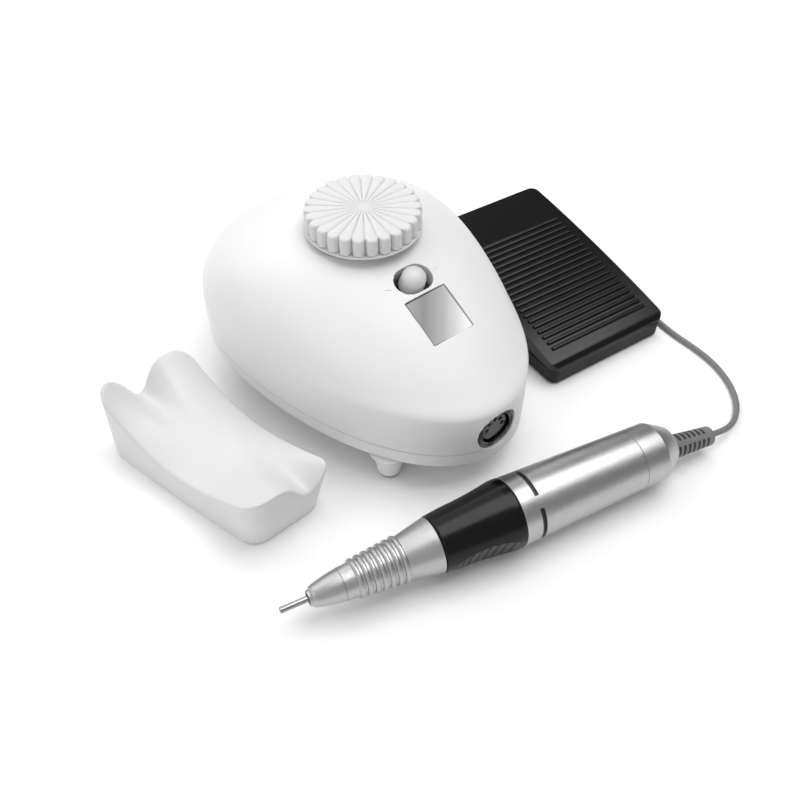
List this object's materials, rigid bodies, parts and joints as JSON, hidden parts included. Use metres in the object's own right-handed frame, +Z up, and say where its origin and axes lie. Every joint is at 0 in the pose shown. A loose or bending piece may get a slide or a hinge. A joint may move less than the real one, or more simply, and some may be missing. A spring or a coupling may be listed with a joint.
{
  "type": "nail drill machine",
  "caption": "Table-top nail drill set: egg-shaped speed control with knob, toggle and display, corded handpiece with bit, handpiece rest and ribbed foot pedal.",
  "frame": {"origin": "middle of the set's footprint, on the table top", "axes": "+Z up; the control unit's socket faces -Y, the handpiece rest lies on its -X side and the foot pedal on its +X side"},
  "size_m": [0.2538, 0.243, 0.0866],
  "materials": {
    "white_housing": "fine satin",
    "white_knob": "satin",
    "white_rest": "soft gloss",
    "grey_rubber_foot": "matt",
    "smoked_window": "polished",
    "display_block": "matt",
    "black_plastic": "matt",
    "steel": "ground",
    "gunmetal": "dark plated",
    "nickel": "plated",
    "circuit_board": "matt",
    "components": "satin",
    "laminations": "dull",
    "winding": "taped",
    "satin_aluminium": "bead blasted",
    "dark_steel": "satin",
    "black_collar": "satin gloss",
    "grey_cord": "matt",
    "black_pedal": "satin gloss",
    "black_pedal_base": "matt",
    "black_rubber": "matt"
  },
  "bodies": {
    "control_unit": {"upper_housing": "white_housing", "base_tray": "white_housing", "foot_pads": "grey_rubber_foot", "display_window": "smoked_window", "display_module": "display_block", "toggle_switch_body": "black_plastic", "potentiometer": "black_plastic", "handpiece_socket": "gunmetal", "socket_insert": "black_plastic", "mains_gland": "black_plastic", "fuse_holder": "black_plastic", "pedal_jack": "nickel", "control_board": "circuit_board", "board_components": "components", "transformer_core": "laminations", "transformer_coil": "winding"},
    "speed_knob": {"speed_knob": "white_knob", "knob_shaft": "steel"},
    "direction_toggle": {"toggle_cap": "white_knob", "toggle_lever": "steel"},
    "handpiece": {"nose_cap": "satin_aluminium", "grip_cone": "satin_aluminium", "chuck_housing": "dark_steel", "body_sleeve": "satin_aluminium", "end_cap": "satin_aluminium", "cord_boot": "grey_cord", "motor_can": "satin_aluminium", "handpiece_cord": "grey_cord", "cord_coil": "grey_cord", "plug_lead": "grey_cord", "plug_boot": "black_plastic", "plug_grip": "black_plastic", "plug_shell": "nickel", "plug_pins": "nickel"},
    "lock_ring": {"lock_ring": "black_collar"},
    "spindle": {"drive_spindle": "steel", "collet": "steel", "motor_rotor": "steel"},
    "bit": {"blank_bit": "steel"},
    "handpiece_rest": {"handpiece_rest": "white_rest"},
    "pedal_base": {"pedal_base": "black_pedal_base", "pedal_feet": "black_rubber", "hinge_pin": "steel", "return_spring": "steel", "pedal_switch": "black_plastic", "pedal_gland": "black_plastic"},
    "pedal_cover": {"pedal_cover": "black_pedal"},
    "switch_button": {"switch_button": "black_pedal"}
  },
  "joints": [
    {"name": "speed_knob_turn", "type": "hinge", "parent": "control_unit", "child": "speed_knob", "pos_m": [-0.0076, 0.026, 0.0866], "axis": [0, 0, -1], "range_deg": [0, 280]},
    {"name": "direction_toggle_tilt", "type": "hinge", "parent": "control_unit", "child": "direction_toggle", "pos_m": [-0.0076, -0.003, 0.06156], "axis": [0, 0.9415, 0.3371], "range_deg": [-12, 12]},
    {"name": "rest_lift", "type": "slide", "parent": "control_unit", "child": "handpiece_rest", "axis": [0, 0, 1], "range_m": [0, 0.12]},
    {"name": "handpiece_lift", "type": "slide", "parent": "control_unit", "child": "handpiece", "axis": [0, 0, 1], "range_m": [0, 0.1]},
    {"name": "lock_ring_twist", "type": "hinge", "parent": "handpiece", "child": "lock_ring", "pos_m": [-0.03979, -0.08069, 0.0141], "axis": [0.9804, -0.1968, 0], "range_deg": [0, 45]},
    {"name": "spindle_spin", "type": "hinge", "parent": "handpiece", "child": "spindle", "pos_m": [-0.04567, -0.07951, 0.0141], "axis": [0.9804, -0.1968, 0], "continuous": true},
    {"name": "bit_pull", "type": "slide", "parent": "spindle", "child": "bit", "axis": [-0.9804, 0.1968, 0], "range_m": [0, 0.033]},
    {"name": "pedal_lift", "type": "slide", "parent": "control_unit", "child": "pedal_base", "axis": [0, 0, 1], "range_m": [0, 0.1]},
    {"name": "pedal_press", "type": "hinge", "parent": "pedal_base", "child": "pedal_cover", "pos_m": [0.08213, -0.03176, 0.0056], "axis": [-0.9959, 0.0906, 0], "range_deg": [0, 4], "stiffness_Nm_per_rad": 4, "springref_deg": -2.86},
    {"name": "switch_press", "type": "slide", "parent": "pedal_base", "child": "switch_button", "axis": [0, 0, -1], "range_m": [0, 0.0031]}
  ],
  "couplings": [
    {"joint": "switch_press", "follows": "pedal_press", "m_per_rad": 0.043}
  ]
}
